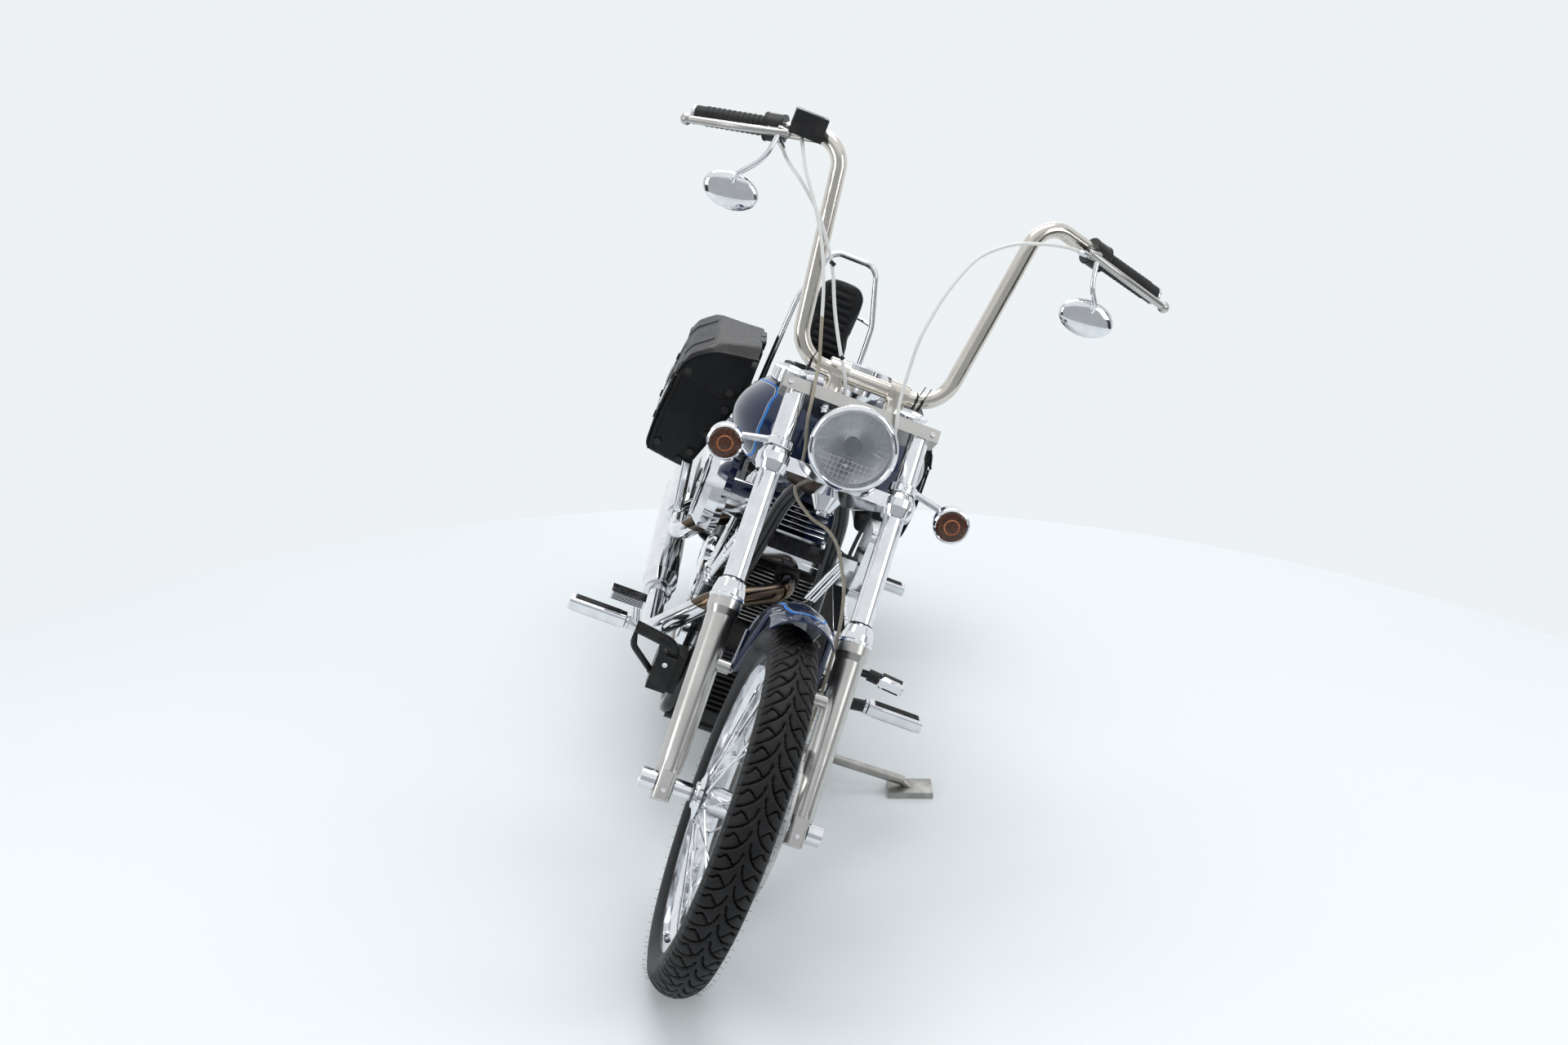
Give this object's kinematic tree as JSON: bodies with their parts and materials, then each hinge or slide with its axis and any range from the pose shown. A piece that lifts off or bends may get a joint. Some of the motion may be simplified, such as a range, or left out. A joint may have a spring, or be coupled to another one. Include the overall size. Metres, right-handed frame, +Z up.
{
  "type": "chopper motorcycle",
  "caption": "Cruiser motorcycle with high handlebars, laced wire wheels, open V-twin engine, leather saddlebags and a passenger backrest, leaning on its side stand.",
  "frame": {"origin": "on the floor, under the middle of the leaned machine's outline", "axes": "+Z up from the floor, the front of the machine faces -Y, its left is towards +X and it leans towards +X"},
  "size_m": [1.2092, 2.4373, 1.5031],
  "materials": {
    "frame_black": "gloss",
    "engine_black": "satin",
    "chrome": "polished",
    "gloss_black": "gloss",
    "blue_paint": "metallic gloss",
    "leather": "satin",
    "red_lens": "gloss",
    "plate": "satin",
    "black_parts": "satin",
    "rubber": "matt",
    "satin_metal": "brushed",
    "cable": "braided",
    "hose": "satin",
    "satin_nickel": "satin",
    "clear_glass": "clear",
    "amber_lens": "gloss",
    "tyre": "matt",
    "steel": "brushed"
  },
  "bodies": {
    "chassis": {"air_cleaner": "chrome", "backrest": "leather", "crankcase": "engine_black", "drive_belt": "rubber", "exhaust_pipes": "chrome", "fender_struts": "chrome", "frame": "frame_black", "frame_cables": "cable", "front_cylinder": "engine_black", "fuel_tank": "blue_paint", "gearbox": "engine_black", "horn_cover": "chrome", "left_bag": "leather", "left_foot_controls": "black_parts", "mufflers": "chrome", "number_plate": "plate", "oil_tank": "gloss_black", "passenger_pegs": "chrome", "primary_cover": "chrome", "pushrod_tubes": "chrome", "rear_caliper": "satin_metal", "rear_cylinder": "engine_black", "rear_fender": "blue_paint", "right_bag": "leather", "right_foot_controls": "black_parts", "rocker_covers": "chrome", "seat": "leather", "shocks": "frame_black", "sissy_bar": "chrome", "swingarm": "frame_black", "tail_lamp": "red_lens", "tank_console": "chrome", "voltage_regulator": "black_parts"},
    "steering": {"fork_yokes": "chrome", "fork_tubes": "chrome", "fork_sliders": "satin_metal", "front_axle": "chrome", "handlebar": "satin_nickel", "headlamp": "chrome", "headlamp_lens": "clear_glass", "front_signals": "amber_lens", "grips": "rubber", "hand_controls": "black_parts", "mirrors": "chrome", "front_fender": "blue_paint", "front_caliper": "satin_metal", "bar_cables": "cable", "brake_hose": "hose"},
    "front_wheel_body": {"front_tyre": "tyre", "front_wheel": "chrome", "front_disc": "steel"},
    "rear_wheel_body": {"rear_tyre": "tyre", "rear_wheel": "chrome", "rear_disc": "steel", "rear_pulley": "satin_metal"},
    "stand": {"side_stand": "steel"},
    "left_lid": {"left_bag_lid": "leather"},
    "right_lid": {"right_bag_lid": "leather"}
  },
  "joints": [
    {"name": "steering_turn", "type": "hinge", "parent": "chassis", "child": "steering", "pos_m": [-0.0301, -0.38981, 0.89865], "axis": [0.2974, 0.5522, 0.7789], "range_deg": [-32, 32]},
    {"name": "front_wheel_spin", "type": "hinge", "parent": "steering", "child": "front_wheel_body", "pos_m": [-0.24928, -0.8747, 0.32466], "axis": [0.9342, 0, -0.3567], "continuous": true},
    {"name": "rear_wheel_spin", "type": "hinge", "parent": "chassis", "child": "rear_wheel_body", "pos_m": [-0.25409, 0.86032, 0.31208], "axis": [0.9342, 0, -0.3567], "continuous": true},
    {"name": "side_stand_fold", "type": "hinge", "parent": "chassis", "child": "stand", "pos_m": [-0.15163, -0.16946, 0.11506], "axis": [0.3567, -0.0015, 0.9342], "range_deg": [0, 85]},
    {"name": "left_lid_open", "type": "hinge", "parent": "chassis", "child": "left_lid", "pos_m": [0.07509, 0.65455, 0.74803], "axis": [-0.0005, -1, -0.0014], "range_deg": [0, 95]},
    {"name": "right_lid_open", "type": "hinge", "parent": "chassis", "child": "right_lid", "pos_m": [-0.2089, 0.65455, 0.85648], "axis": [0.0005, 1, 0.0014], "range_deg": [0, 95]}
  ]
}
